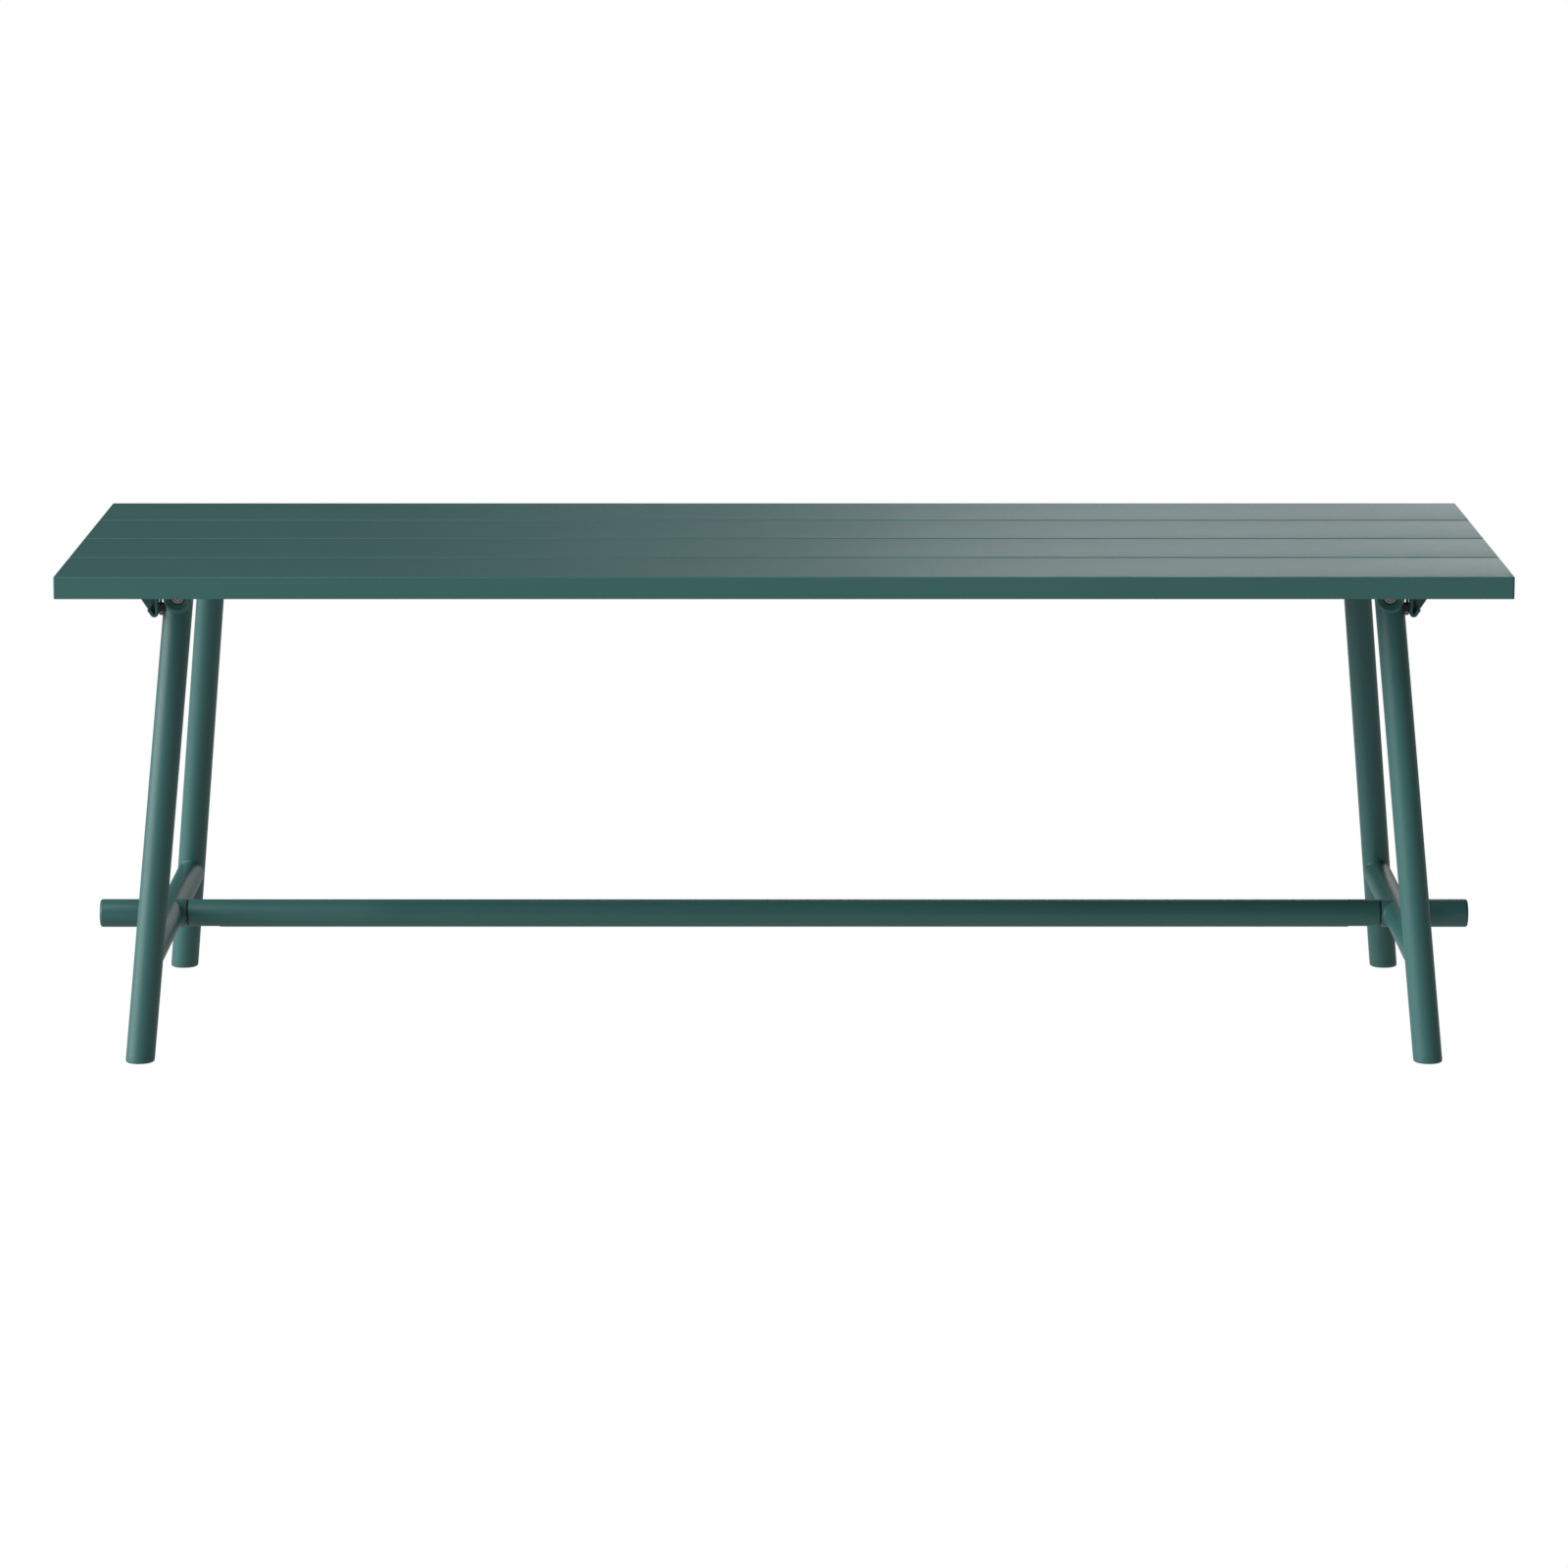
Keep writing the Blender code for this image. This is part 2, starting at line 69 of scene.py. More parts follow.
ROUND, PIN_ROUND, SCREW_ROUND = 128, 40, 96  # segments of a tube, a pin or its hole, and a screw
EASE = 0.3 * MM  # small edge rounding, and the gap that the CAD leaves between touching pieces
RIM = 0.35 * MM  # broken rim of a cut tube
PLUG_FIT = 2.3 * MM  # from a tube's outside to the plug inside it


# ---------------------------------------------------------------- reading the frame

def centre(node):
    low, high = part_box(node)
    return (low + high) / 2


def span(node):
    low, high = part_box(node)
    return high - low


def radii_about(node, point, axis):
    """Smallest and largest distance of a CAD node's vertices from a line: a tube's bore and outside."""
    axis = Vector(axis).normalized()
    point = Vector(point)
    found = []
    for vertex in frame["nodes"][node].data.vertices:
        offset = vertex.co - point
        found.append((offset - axis * offset.dot(axis)).length)
    return min(found), max(found)


def leg_line(tag, side):
    """Axis of a leg, as a function of height: from its foot mount to its catch pin and the cross tube."""
    foot = Vector(next(m["pos_m"] for m in frame["record"]["mounts"] if m["name"] == f"foot_{tag}"))
    pivot = centre(f"cross_tube_{side}")
    pin = centre(f"catch_pin_{tag}")
    slope = Vector(((pivot.x - foot.x) / pivot.z, (pin.y - foot.y) / pin.z, 1))
    return lambda z: foot + slope * z


def leg_axis(line):
    return (line(1) - line(0)).normalized()


# ---------------------------------------------------------------- mesh tools

def ring(point, axis, radius, segments=ROUND):
    """Circle of points about an axis."""
    axis = Vector(axis).normalized()
    helper = UP if abs(axis.z) < STEEP else Vector((0, 1, 0))
    first = axis.cross(helper).normalized()
    second = axis.cross(first)
    turn = [2 * pi * i / segments for i in range(segments)]
    return [Vector(point) + radius * (cos(a) * first + sin(a) * second) for a in turn]


def hexagon(point, axis, flat, segments):
    """A ring whose points lie on a hexagon with this distance from its middle to each flat."""
    sixth = pi / 3
    out = []
    for i, spoke in enumerate(ring(point, axis, 1.0, segments)):
        a = (2 * pi * i / segments) % sixth - sixth / 2
        out.append(Vector(point) + (spoke - Vector(point)) * (flat / cos(a)))
    return out


def skin(rings, closed=False):
    """Mesh through equal loops of points; a closed one returns to its first loop, an open one is capped."""
    bm = bmesh.new()
    loops = [[bm.verts.new(p) for p in points] for points in rings]
    pairs = list(zip(loops, loops[1:]))
    if closed:
        pairs.append((loops[-1], loops[0]))
    else:
        bm.faces.new(loops[0])
        bm.faces.new(loops[-1])
    count = len(loops[0])
    for low, high in pairs:
        for i in range(count):
            j = (i + 1) % count
            bm.faces.new((low[i], low[j], high[j], high[i]))
    return bm


def turned(origin, axis, profile, closed=False, segments=ROUND):
    """Lathe mesh: profile holds (distance along the axis, radius)."""
    axis = Vector(axis).normalized()
    return skin([ring(Vector(origin) + axis * at, axis, r, segments) for at, r in profile], closed)


def arc(middle, radius, start, end, steps):
    """Points (a, b) on a circle, from one angle in degrees to another."""
    turn = [radians(start + (end - start) * i / steps) for i in range(steps + 1)]
    return [(middle[0] + radius * cos(a), middle[1] + radius * sin(a)) for a in turn]


def pipe_profile(start, end, outer, inner, edge):
    """Tube wall with both outside rims broken by a small radius."""
    profile = arc((start + edge, outer - edge), edge, 180, 90, 3)
    profile += arc((end - edge, outer - edge), edge, 90, 0, 3)
    return profile + [(end, inner), (start, inner)]


def block(low, high):
    """Plain box, for cutting."""
    bm = bmesh.new()
    bmesh.ops.create_cube(bm, size=1.0)
    low, high = Vector(low), Vector(high)
    for vert in bm.verts:
        vert.co = Vector([low[k] + (vert.co[k] + 0.5) * (high[k] - low[k]) for k in range(3)])
    return bm


def made(bm, name, mat, body, slot=None, replaces=(), crease=35, cutters=()):
    """Turns a bmesh into a piece that rides on a CAD body. Folds past the crease angle stay sharp."""
    obj = bpy.data.objects.new(name, bpy.data.meshes.new(name))
    bmesh.ops.recalc_face_normals(bm, faces=bm.faces[:])
    bm.to_mesh(obj.data)
    bm.free()
    bpy.context.scene.collection.objects.link(obj)
    for cutter in cutters:
        carve(obj, cutter)
    for face in obj.data.polygons:
        face.use_smooth = True
    obj.data.set_sharp_from_angle(angle=radians(crease))
    obj.data.materials.clear()
    obj.data.materials.append(mat)
    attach(obj, body)
    if replaces:
        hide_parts(*replaces)
    return obj


def carve(obj, cutter_bm):
    """Cuts one mesh out of another for good, so that no tool object is left."""
    mesh = bpy.data.meshes.new("cutter")
    bmesh.ops.recalc_face_normals(cutter_bm, faces=cutter_bm.faces[:])
    cutter_bm.to_mesh(mesh)
    cutter_bm.free()
    tool = bpy.data.objects.new("cutter", mesh)
    bpy.context.scene.collection.objects.link(tool)
    modifier = obj.modifiers.new("cut", "BOOLEAN")
    modifier.object = tool
    modifier.operation = "DIFFERENCE"
    modifier.solver = "EXACT"
    bpy.context.view_layer.update()
    graph = bpy.context.evaluated_depsgraph_get()
    result = bpy.data.meshes.new_from_object(obj.evaluated_get(graph))
    obj.modifiers.clear()
    obj.data = result
    bpy.data.objects.remove(tool)


# ---------------------------------------------------------------- materials

def nodes_of(name):
    """New material, with its node tree and its shader."""
    mat = bpy.data.materials.new(name)
    mat.use_nodes = True
    tree = mat.node_tree
    return mat, tree, tree.nodes["Principled BSDF"]


def noise(tree, scale, detail=2.0, rough=0.5):
    """Noise in the piece's own metres."""
    place = tree.nodes.new("ShaderNodeTexCoord")
    node = tree.nodes.new("ShaderNodeTexNoise")
    node.inputs["Scale"].default_value = scale
    node.inputs["Detail"].default_value = detail
    node.inputs["Roughness"].default_value = rough
    tree.links.new(place.outputs["Object"], node.inputs["Vector"])
    return node.outputs["Fac"]


NOISE_LOW, NOISE_HIGH = 0.3, 0.7  # most of a noise lies between these


def remap(tree, value, low, high):
    """Spreads a noise over a range."""
    node = tree.nodes.new("ShaderNodeMapRange")
    node.inputs["From Min"].default_value = NOISE_LOW
    node.inputs["From Max"].default_value = NOISE_HIGH
    node.inputs["To Min"].default_value = low
    node.inputs["To Max"].default_value = high
    tree.links.new(value, node.inputs["Value"])
    return node.outputs["Result"]


def tint(tree, value, dark, light):
    """Mixes two linear colours."""
    node = tree.nodes.new("ShaderNodeMix")
    node.data_type = "RGBA"
    node.inputs["A"].default_value = (*dark, 1.0)
    node.inputs["B"].default_value = (*light, 1.0)
    tree.links.new(value, node.inputs["Factor"])
    return node.outputs["Result"]


def bumps(tree, shader, layers):
    """Stacks bump layers, each (height, depth in metres)."""
    normal = None
    for height, depth in layers:
        node = tree.nodes.new("ShaderNodeBump")
        node.inputs["Strength"].default_value = 1.0
        node.inputs["Distance"].default_value = depth
        tree.links.new(height, node.inputs["Height"])
        if normal:
            tree.links.new(normal, node.inputs["Normal"])
        normal = node.outputs["Normal"]
    tree.links.new(normal, shader.inputs["Normal"])


def surface(name, dark, light, clouds, gloss, smears, relief, metallic=0.0):
    """Finish whose shade and roughness vary over two noises, with bump layers for relief.

    A noise is (scale per metre, detail, roughness). Gloss is a range of roughness; relief holds (noise, depth).
    """
    mat, tree, shader = nodes_of(name)
    shade = remap(tree, noise(tree, *clouds), 0, 1)
    tree.links.new(tint(tree, shade, dark, light), shader.inputs["Base Color"])
    tree.links.new(remap(tree, noise(tree, *smears), *gloss), shader.inputs["Roughness"])
    shader.inputs["Metallic"].default_value = metallic
    bumps(tree, shader, [(noise(tree, *texture), depth) for texture, depth in relief])
    return mat


# Satin polyester powder coat: slight changes of shade, orange peel and a fine dry grain.
ORANGE_PEEL, DRY_GRAIN = ((380, 2), 0.06 * MM), ((1500, 2, 0.6), 0.03 * MM)
TEAL = surface(
    "powder_teal_satin", dark=(0.0505, 0.1690, 0.1610), light=(0.0530, 0.1760, 0.1680), clouds=(9, 4),
    gloss=(0.405, 0.435), smears=(260, 3), relief=[ORANGE_PEEL, DRY_GRAIN])
# Moulded nylon in the coat's colour, with faint flow marks.
FOOT_NYLON = surface(
    "nylon_teal_satin", dark=(0.0500, 0.1630, 0.1550), light=(0.0530, 0.1740, 0.1660), clouds=(30, 3),
    gloss=(0.40, 0.48), smears=(90, 3), relief=[((900, 2), 0.03 * MM)])
# Black moulded nylon with a fine grain.
NYLON = surface(
    "nylon_black_grain", dark=(0.012, 0.012, 0.013), light=(0.022, 0.021, 0.021), clouds=(40, 3),
    gloss=(0.46, 0.58), smears=(200, 2), relief=[((1800, 3, 0.7), 0.04 * MM)])
# Turned steel, slightly warm, with fine machining marks and handling smears.
STEEL = surface(
    "steel_bare_turned", dark=(0.36, 0.31, 0.30), light=(0.50, 0.45, 0.44), clouds=(160, 4),
    gloss=(0.26, 0.42), smears=(900, 3), relief=[((2600, 2), 0.02 * MM)], metallic=1.0)
SLOT_LOOK = {"powder_teal": TEAL, "teal_nylon": FOOT_NYLON, "black_nylon": NYLON, "zinc_steel": STEEL}


def coated(bm, name, *nodes, **more):
    """Powder-coated piece of the frame body that takes the place of CAD nodes."""
    made(bm, name, TEAL, "frame", "powder_teal", nodes, **more)


# ---------------------------------------------------------------- seat

SHEET, FOLD, CORNER = 2 * MM, 1.1 * MM, 1.8 * MM  # sheet thickness, top fold and corner radii
TIGHTEST = 0.5 * MM  # smallest corner radius inside the sheet
BEND_STEPS = 6


def build_seat():
    names = sorted(n for n in frame["nodes"] if n.startswith("plank_"))
    for index, name in enumerate(names):
        low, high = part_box(name)
        cuts = lip_cuts(low, high, index > 0, index < len(names) - 1)
        coated(tray(low, high), f"{name}_sheet", name, crease=40, cutters=cuts)


def tray_outline(low, high, inset, z):
    """Level outline with rounded corners, set in from a plank's sides."""
    middle, half = (low + high) / 2, (high - low) / 2
    r = max(CORNER - inset, TIGHTEST)
    points = []
    for sx, sy, start in ((1, 1, 0), (-1, 1, 90), (-1, -1, 180), (1, -1, 270)):
        corner = (middle.x + sx * (half.x - inset - r), middle.y + sy * (half.y - inset - r))
        points += arc(corner, r, start, start + 90, BEND_STEPS)
    return [Vector((x, y, z)) for x, y in points]


def tray(low, high):
    """Folded sheet tray, open below, with tight bend radii and eased lower edges."""
    levels = [(SHEET, high.z - SHEET), (SHEET, low.z + EASE), (SHEET - EASE, low.z), (EASE, low.z)]
    levels += [(0, low.z + EASE)] + arc((FOLD, high.z - FOLD), FOLD, 180, 90, BEND_STEPS)
    return skin([tray_outline(low, high, inset, z) for inset, z in levels])


def lip_cuts(low, high, front, back):
    """Tools that shorten the lips beside the grooves, leaving the end skirts whole."""
    lip_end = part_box("mounting_plate_left")[1].z + EASE
    reach = (high - low).x / 2 - 2 * SHEET - CORNER
    past = 1.5 * SHEET
    cuts = []
    for edge, inward, wanted in ((low.y, 1, front), (high.y, -1, back)):
        if wanted:
            y0, y1 = sorted((edge - inward * SHEET, edge + inward * past))
            cuts.append(block((-reach, y0, low.z - SHEET), (reach, y1, lip_end)))
    return cuts


# ---------------------------------------------------------------- end frames

FOOT_SEAM = 0.08 * MM
TOP_WELD, RUNG_WELD = 2.8 * MM, 1.4 * MM  # sizes of the fillets
HOLE_R, HOLE_DROP = 2.9 * MM, 0.5 * MM  # the catch pin's hole, and how far its middle lies below the pin's
HOLE_FROM, HOLE_TO = -2 * MM, 9 * MM  # from the pin's middle, towards the leg


def slanted_ring(line, z, radius):
    """Level section of a leaning tube."""
    axis = leg_axis(line)
    return [p + axis * ((z - p.z) / axis.z) for p in ring(line(z), axis, radius)]


def build_leg(tag, side, sx):
    """Leaning tube with the catch's hole, its foot cap and the fillet under the cross tube."""
    line = leg_line(tag, side)
    axis = leg_axis(line)
    node = f"leg_{tag}"
    bore, outer = radii_about(node, line(0), axis)
    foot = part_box(node)[0].z
    pivot = centre(f"cross_tube_{side}")
    levels = [(foot, outer - FOOT_SEAM), (foot + FOOT_SEAM, outer), (pivot.z, outer)]
    levels += [(pivot.z, bore), (foot, bore)]
    rings = [slanted_ring(line, z, r) for z, r in levels]
    hole_at = centre(f"catch_pin_{tag}") - UP * HOLE_DROP
    hole = turned(hole_at, (-sx, 0, 0), [(HOLE_FROM, HOLE_R), (HOLE_TO, HOLE_R)], segments=PIN_ROUND)
    coated(skin(rings, True), f"leg_tube_{tag}", node, cutters=[hole])
    build_foot(tag, line, outer, foot)
    cross_r = span(f"cross_tube_{side}").z / 2
    weld(f"weld_top_{tag}", (line(pivot.z), -axis, outer), (pivot, (0, 1, 0), cross_r), TOP_WELD)


def build_foot(tag, line, outer, shoulder):
    """Cap under the tube, flush with it, rounded below."""
    node = f"foot_glide_{tag}"
    low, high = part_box(node)
    edge = 2 * MM
    plug, top = outer - PLUG_FIT, shoulder - FOOT_SEAM
    levels = [(z, r) for r, z in arc((outer - edge, low.z + edge), edge, -90, 0, 8)]
    levels += [(shoulder - 2 * FOOT_SEAM, outer), (top, outer - FOOT_SEAM), (top, plug), (high.z, plug)]
    rings = [slanted_ring(line, z, r) for z, r in levels]
    made(skin(rings), f"glide_{tag}", FOOT_NYLON, "frame", "teal_nylon", [node])


WELD_TURNS, WELD_STEPS = 120, 6  # sections round a fillet, and steps across its face
WELD_BULGE, WELD_SINK, WELD_ROOT = 0.12, 0.02, 0.5  # its face's swell and sink, and its root's depth, by size
FADE_FROM, FADE_OVER = 0.80, 0.16  # sine of the surfaces' angle where a fillet ends, and over which it grows
LEAST_WELD = 0.01 * MM  # keeps a faded section from closing up


def weld(name, branch, main, size):
    """Fillet where a branch tube meets a main tube, fading out where their surfaces run together.

    Each tube is (point on axis, axis, radius); the branch's axis points away from the main tube.
    """
    start, away, branch_r = branch
    base, along, main_r = main
    away, along = Vector(away).normalized(), Vector(along).normalized()
    spokes = [(p - start).normalized() for p in ring(start, away, branch_r, WELD_TURNS)]
    path, normals = [], []
    for spoke in spokes:
        offset = start + spoke * branch_r - base
        offset -= along * offset.dot(along)
        slide = away - along * away.dot(along)
        a, b, c = slide.dot(slide), 2 * offset.dot(slide), offset.dot(offset) - main_r ** 2
        reach = (-b + sqrt(max(b * b - 4 * a * c, 0.0))) / (2 * a)
        path.append(start + spoke * branch_r + away * reach)
        normals.append((offset + slide * reach).normalized())
    rings = []
    for i, point in enumerate(path):
        tangent = (path[(i + 1) % WELD_TURNS] - path[i - 1]).normalized()
        up_branch = tangent.cross(spokes[i]).normalized()
        up_main = tangent.cross(normals[i]).normalized()
        up_branch *= 1 if up_branch.dot(away) > 0 else -1
        up_main *= 1 if up_main.dot(spokes[i]) > 0 else -1
        meeting = sqrt(max(1 - spokes[i].dot(normals[i]) ** 2, 0.0))
        fade = min(max((meeting - FADE_FROM) / FADE_OVER, 0.0), 1.0)
        leg = max(size * fade * fade * (3 - 2 * fade), LEAST_WELD)
        first, last = point + up_branch * leg, point + up_main * leg
        outward = (spokes[i] + normals[i]).normalized() * leg
        section = [point - outward * WELD_ROOT]
        for t in (k / WELD_STEPS for k in range(WELD_STEPS + 1)):
            section.append(first.lerp(last, t) + outward * (WELD_BULGE * 4 * t * (1 - t) - WELD_SINK))
        rings.append(section)
    coated(skin(rings, True), name, crease=80)


def build_rung(tag, side, sy):
    """Half rung from the hub to the leg, with a fillet at each end."""
    node = f"rung_{tag}"
    middle = centre(node)
    hub = centre(f"hub_{side}")
    line = leg_line(tag, side)
    root = Vector((middle.x, hub.y, middle.z))
    outer = span(node).z / 2
    joint = line(middle.z)
    leg_r = radii_about(f"leg_{tag}", line(0), leg_axis(line))[1]
    # The rung is a hair thicker than the leg, so it tapers to stay inside the leg's outline.
    taper, start, shy = 20 * MM, 0.5 * MM, 0.05 * MM
    end = abs(joint.y)
    profile = [(start, outer), (end - taper, outer), (end, min(leg_r, outer) - shy)]
    coated(turned(root, (0, sy, 0), profile), f"rung_tube_{tag}", node)
    weld(f"weld_leg_{tag}", (joint, (0, -sy, 0), outer), (joint, leg_axis(line), leg_r), RUNG_WELD)
    weld(f"weld_hub_{tag}", (root, (0, sy, 0), outer), (root, (1, 0, 0), outer), RUNG_WELD)


CAP_RECESS = 4.5 * MM  # depth of the screw's seat below the cap's face
SHANK_R = 3.0 * MM


def build_cross_end(tag, side, sy):
    """Dished cap of a cross tube, with a flanged screw sunk in its middle."""
    cap, screw = f"cross_cap_{tag}", f"cap_screw_{tag}"
    pivot = centre(f"cross_tube_{side}")
    origin = Vector((pivot.x, 0, pivot.z))
    face = max(abs(v.y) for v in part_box(cap))
    seam = max(abs(v.y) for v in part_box(f"cross_tube_{side}"))
    outer = span(cap).z / 2
    floor = face - CAP_RECESS
    build_cap(tag, cap, origin, sy, (seam, face, floor), outer)
    flange_r = radii_about(screw, pivot, (0, 1, 0))[1]
    tip = min(abs(v.y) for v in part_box(screw))
    build_cap_screw(tag, screw, origin, sy, (tip, floor + EASE), flange_r)


def build_cap(tag, node, origin, sy, stations, outer):
    """Stations are the distances from the middle of the seam, the face and the screw's seat."""
    seam, face, floor = stations
    dish_r, dish, recess_r, edge = 11.2 * MM, 2.0 * MM, 7.0 * MM, 1.4 * MM
    lip, insert, crest = 0.4 * MM, 10 * MM, 0.05 * MM
    root, plug, bore = seam - insert, outer - PLUG_FIT, SHANK_R + EASE
    profile = [(root, plug), (seam, plug), (seam + EASE, outer - EASE), (seam + 2 * EASE, outer)]
    profile += arc((face - edge, outer - edge), edge, 90, 0, 8)
    profile += [(face - crest, dish_r + lip), (face - lip, dish_r - lip / 2)]
    profile += [(face - dish + lip / 2, recess_r + lip), (face - dish - lip, recess_r)]
    profile += [(floor, recess_r), (floor, bore), (root, bore)]
    coated(turned(origin, (0, sy, 0), profile, closed=True), f"cross_end_{tag}", node)


def build_cap_screw(tag, node, origin, sy, stations, flange_r):
    """Stations are the distances from the middle of the screw's tip and of the underside of its flange."""
    tip, base = stations
    axis = Vector((0, sy, 0))
    flange, head_r, head, rounding = 1.0 * MM, 4.7 * MM, 2.5 * MM, 0.35 * MM
    flat, deep, drill, drill_r = 2.1 * MM, 1.9 * MM, 0.8 * MM, 0.4 * MM  # the hexagonal socket
    crown, top = base + flange, base + flange + head
    turning = [(tip, SHANK_R), (base, SHANK_R), (base, flange_r - rounding)]
    turning += arc((base + flange - rounding, flange_r - rounding), rounding, 90, 0, 3)
    turning += [(crown, head_r)]
    bulge, last = (15, 30, 45, 60), radians(60)  # the head's side, as degrees round a circle
    turning += [(crown + head * sin(a) / sin(last), head_r * cos(a)) for a in (radians(d) for d in bulge)]
    rings = [ring(origin + axis * at, axis, r, SCREW_ROUND) for at, r in turning]
    rings += [hexagon(origin + axis * at, axis, flat, SCREW_ROUND) for at in (top, top - deep)]
    rings += [ring(origin + axis * (top - deep - drill), axis, drill_r, SCREW_ROUND)]
    made(skin(rings), f"cap_screw_head_{tag}", STEEL, "frame", "zinc_steel", [node])


def build_hub(side, sx):
    """Tube that the rungs meet, and the rounded end of its stub."""
    hub, cap = f"hub_{side}", f"stub_cap_{side}"
    beam = centre(hub)
    origin = Vector((0, beam.y, beam.z))
    bore, outer = radii_about(hub, origin, (1, 0, 0))
    inner_end, seam = sorted(abs(v.x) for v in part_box(hub))
    stub_end = max(abs(v.x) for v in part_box(cap))
    wall = arc((inner_end + RIM, outer - RIM), RIM, 180, 90, 3)
    wall += [(seam, outer), (seam, bore), (inner_end, bore)]
    coated(turned(origin, (sx, 0, 0), wall, closed=True), f"hub_tube_{side}", hub)
    edge, insert, plug = 2.4 * MM, 8 * MM, bore - EASE
    profile = [(seam - insert, plug), (seam, plug), (seam, outer)]
    profile += arc((stub_end - edge, outer - edge), edge, 90, 0, 8)
    coated(turned(origin, (sx, 0, 0), profile), f"stub_end_{side}", cap)


def build_cross_tube(side):
    """Tube along Y that joins two leg tops."""
    node = f"cross_tube_{side}"
    middle = centre(node)
    bore, outer = radii_about(node, middle, (0, 1, 0))
    half = span(node).y / 2
    profile = [(-half, outer), (half, outer), (half, bore), (-half, bore)]
    coated(turned(middle, (0, 1, 0), profile, closed=True), f"{node}_tube", node)


# ---------------------------------------------------------------- stretcher

def build_stretcher():
    """Long tube with the slot of each end plug cut through its underside."""
    middle = centre("stretcher")
    bore, outer = radii_about("stretcher", middle, (1, 0, 0))
    half = span("stretcher").x / 2
    profile = pipe_profile(-half, half, outer, bore, RIM)
    channel, before, past = 6.3 * MM, 1 * MM, 2 * MM  # the slot's half width, and its reach past either end
    plug = max(v.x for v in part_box("stretcher_plug_right")) - span("stretcher_plug_right").x - before
    cuts = []
    for sx in SIDES.values():
        x0, x1 = sorted((sx * plug, sx * (half + past)))
        cuts.append(block((x0, -channel, middle.z - 2 * outer), (x1, channel, middle.z - outer / 2)))
    made(turned(middle, (1, 0, 0), profile, closed=True), "stretcher_tube", TEAL, "stretcher", "powder_teal",
         ["stretcher"], cutters=cuts)


# ---------------------------------------------------------------- catches

STRAP_T, STRAP_EDGE = 3.0 * MM, 0.5 * MM
PULL_BEND_R, PULL_LEAN = 2.3 * MM, 35  # inside of the V, and the pull's lean outward in degrees from upright


def rounded_bar(point, across, width_axis, thick, wide, edge):
    """Cross-section ring of a flat strap with eased edges."""
    ring_points = []
    for sa, sb, start in ((1, 1, 0), (-1, 1, 90), (-1, -1, 180), (1, -1, 270)):
        for a, b in arc((sa * (thick / 2 - edge), sb * (wide / 2 - edge)), edge, start, start + 90, 2):
            ring_points.append(point + across * a + width_axis * b)
    return ring_points


def strap_line(low, high, hinge):
    """Centre line (distance from the middle, height): round the hinge pin, down, and back up as the pull."""
    inner, outer = sorted((abs(low.x), abs(high.x)))
    flange = inner + STRAP_T / 2
    tilt = radians(PULL_LEAN)
    bend = (flange + PULL_BEND_R, low.z + STRAP_T / 2 + PULL_BEND_R)
    path = arc((abs(hinge.x), hinge.z), abs(hinge.x) - flange, -60, 180, 24)
    path += arc(bend, PULL_BEND_R, 180, 360 - PULL_LEAN, 16)
    x, z = path[-1]
    length = (outer - x - STRAP_T / 2 * cos(tilt)) / sin(tilt)
    return path + [(x + length * sin(tilt), z + length * cos(tilt))]


def build_strap(tag, sx, sy):
    """Bent strap, cut back above the pull to a narrow tab beside the buffer."""
    body, node = f"catch_{tag}", f"catch_strap_{tag}"
    hinge = Vector(next(j["pos_m"] for j in frame["joints"] if j["child"] == body))
    low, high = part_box(node)
    middle_y, wide = (low.y + high.y) / 2, high.y - low.y
    points = [Vector((sx * x, middle_y, z)) for x, z in strap_line(low, high, hinge)]
    rings = []
    for i, point in enumerate(points):
        along = (points[min(i + 1, len(points) - 1)] - points[max(i - 1, 0)]).normalized()
        across = along.cross(Vector((0, 1, 0)))
        rings.append(rounded_bar(point, across, Vector((0, 1, 0)), STRAP_T, wide, STRAP_EDGE))
    margin, beyond = 10 * MM, 30 * MM  # how far the cut reaches past the strap, and past its inner side
    corners = [v.co for v in frame["nodes"][node].data.vertices]
    tab_y = min(abs(p.y) for p in corners if p.z > hinge.z)
    pull_top = max(p.z for p in corners if abs(p.y) < tab_y - MM)
    y0, y1 = sorted((sy * tab_y, sy * (tab_y - beyond)))
    step = block((low.x - margin, y0, pull_top), (high.x + margin, y1, high.z + margin))
    made(skin(rings), f"strap_{tag}", TEAL, body, "powder_teal", [node], cutters=[step])


def build_catch_pin(tag, sx):
    """Round-nosed pin on the strap, pointing into the leg."""
    node = f"catch_pin_{tag}"
    low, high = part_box(node)
    middle, r = (low + high) / 2, (high.z - low.z) / 2
    start = Vector((sx * max(abs(low.x), abs(high.x)), middle.y, middle.z))
    length, nose = high.x - low.x, 0.4 * MM
    profile = [(0, r)] + arc((length - nose, r - nose), nose, 90, 0, 4)
    pin = turned(start, (-sx, 0, 0), profile, segments=PIN_ROUND)
    made(pin, f"pin_{tag}", STEEL, f"catch_{tag}", "zinc_steel", [node])


# ---------------------------------------------------------------- hidden hardware kept from the CAD

def dress(node, slot):
    """Gives a CAD node its finish, and eased edges that catch the light."""
    obj = frame["nodes"][node]
    obj.data.materials.clear()
    obj.data.materials.append(SLOT_LOOK[slot])
    merge = obj.modifiers.new("weld", "WELD")
    merge.merge_threshold = 0.01 * MM
    ease = obj.modifiers.new("ease", "BEVEL")
    ease.width = EASE
    ease.segments = 2
    ease.limit_method = "ANGLE"
    ease.angle_limit = radians(40)


